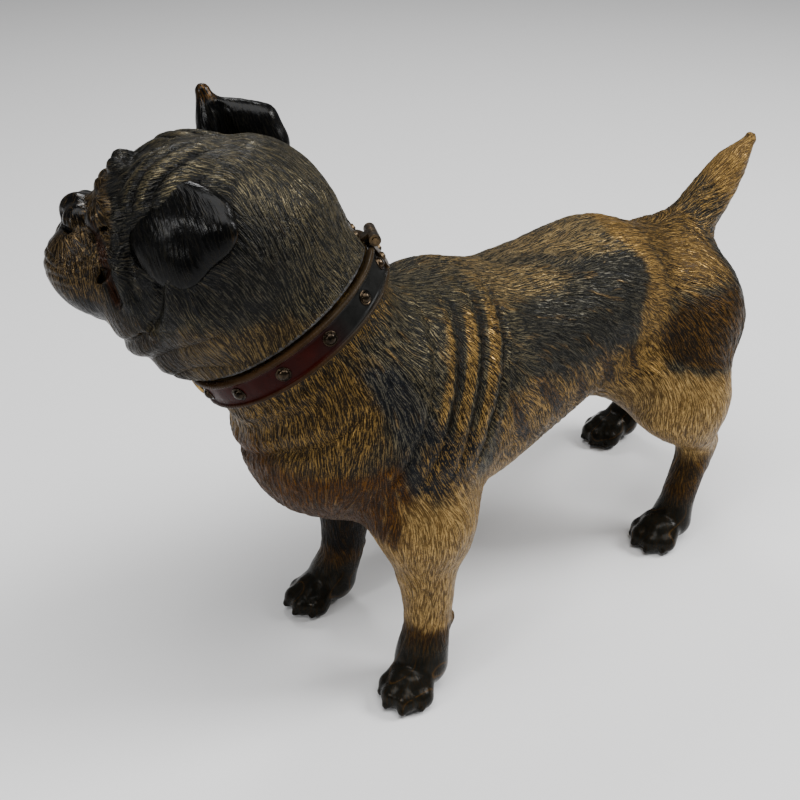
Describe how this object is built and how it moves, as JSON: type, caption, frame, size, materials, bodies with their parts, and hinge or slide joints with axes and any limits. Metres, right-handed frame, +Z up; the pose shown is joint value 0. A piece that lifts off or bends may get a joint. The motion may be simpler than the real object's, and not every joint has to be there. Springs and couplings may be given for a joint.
{
  "type": "figural animal coin bank",
  "caption": "Cast dog figure coin bank, hollow, with a slot in the back, a studded collar and a head that hinges back at the nape behind a small lock.",
  "frame": {"origin": "middle of the bounding box on the ground the paws stand on", "axes": "+Z up; the animal faces -X and its own left side is -Y; millimetres in the source, metres here"},
  "size_m": [0.2561, 0.0948, 0.1838],
  "materials": {
    "brindle_coat": "cold-painted brindle coat over chased hair, waxed, worn to brown on the high strokes",
    "leg_coat": "cold-painted tan coat running to gloss black paws",
    "tail_coat": "cold-painted dark base running to an orange-tan tip",
    "head_coat": "cold-painted dark brindle, glossy over the brow and muzzle",
    "ear_coat": "gloss blue-black paint, rubbed along the edges",
    "collar_red": "oxblood paint over a cast band, darkened towards the nape",
    "stud_bronze": "darkened bronze, domes rubbed bright",
    "brass_fitting": "aged brass, satin",
    "brass_rivet": "aged brass, hammered heads",
    "steel_lock": "filed steel, lightly oiled",
    "steel_pin": "drawn steel",
    "steel_spring": "blued spring steel"
  },
  "bodies": {
    "body": {"body_left_shell": "brindle_coat", "body_right_shell": "brindle_coat", "front_left_leg": "leg_coat", "front_right_leg": "leg_coat", "rear_left_leg": "leg_coat", "rear_right_leg": "leg_coat", "tail": "tail_coat", "collar_band": "collar_red", "collar_studs": "stud_bronze", "neck_ring": "brass_fitting", "lock_block": "brass_fitting", "hinge_body_leaf": "brass_fitting", "hinge_pin": "steel_pin", "hinge_body_rivets": "brass_rivet", "lock_case": "steel_lock", "lock_cover": "steel_lock", "lock_posts": "steel_pin", "lock_spring": "steel_spring", "keyhole_escutcheon": "brass_fitting"},
    "lock_bolt": {"lock_bolt": "steel_lock"},
    "head": {"head_shell": "head_coat", "left_ear": "ear_coat", "right_ear": "ear_coat", "head_ring": "brass_fitting", "hinge_head_leaf": "brass_fitting", "hinge_head_rivets": "brass_rivet", "strike_plate": "steel_lock", "strike_rivets": "steel_pin"}
  },
  "joints": [
    {"name": "head_hinge", "type": "hinge", "parent": "body", "child": "head", "pos_m": [-0.04664, -0.00825, 0.14455], "axis": [0.4487, 0.8928, -0.039], "range_deg": [0, 95]},
    {"name": "bolt_slide", "type": "slide", "parent": "body", "child": "lock_bolt", "axis": [-0.4487, -0.8928, 0.039], "range_m": [0, 0.0035]}
  ]
}
